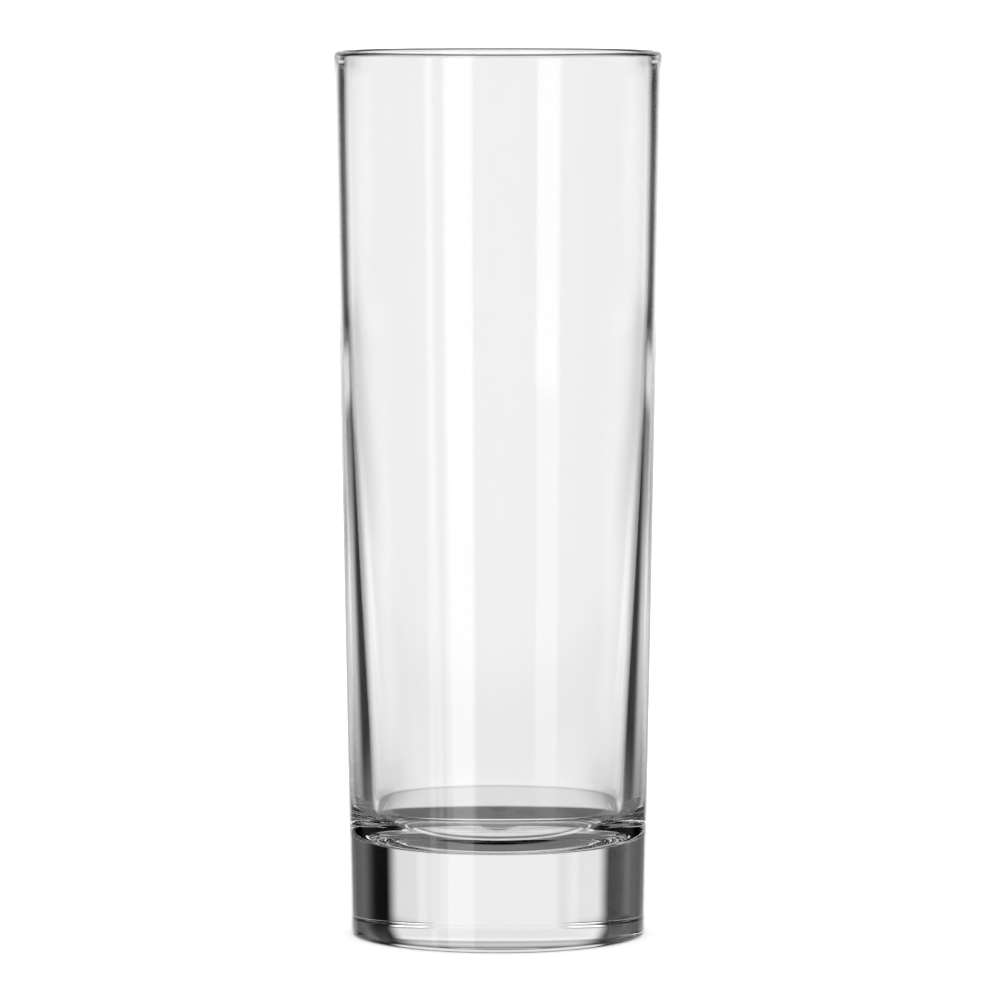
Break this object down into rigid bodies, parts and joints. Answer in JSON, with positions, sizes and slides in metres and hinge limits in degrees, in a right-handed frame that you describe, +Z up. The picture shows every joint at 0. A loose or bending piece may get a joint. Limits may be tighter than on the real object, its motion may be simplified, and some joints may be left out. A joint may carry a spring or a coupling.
{
  "type": "highball glass",
  "caption": "Tall slim highball glass with a straight, slightly flared wall, a fire-rounded lip, a round-cornered bowl and a thick solid base with a rounded heel.",
  "frame": {"origin": "middle of the foot, on the plane that the glass stands on", "axes": "+Z up along the axis of the glass, from the foot to the mouth"},
  "size_m": [0.0598, 0.0598, 0.162],
  "materials": {
    "clear_glass": "fire-polished clear soda-lime glass"
  },
  "bodies": {
    "root": {"tumbler": "clear_glass"}
  },
  "joints": []
}
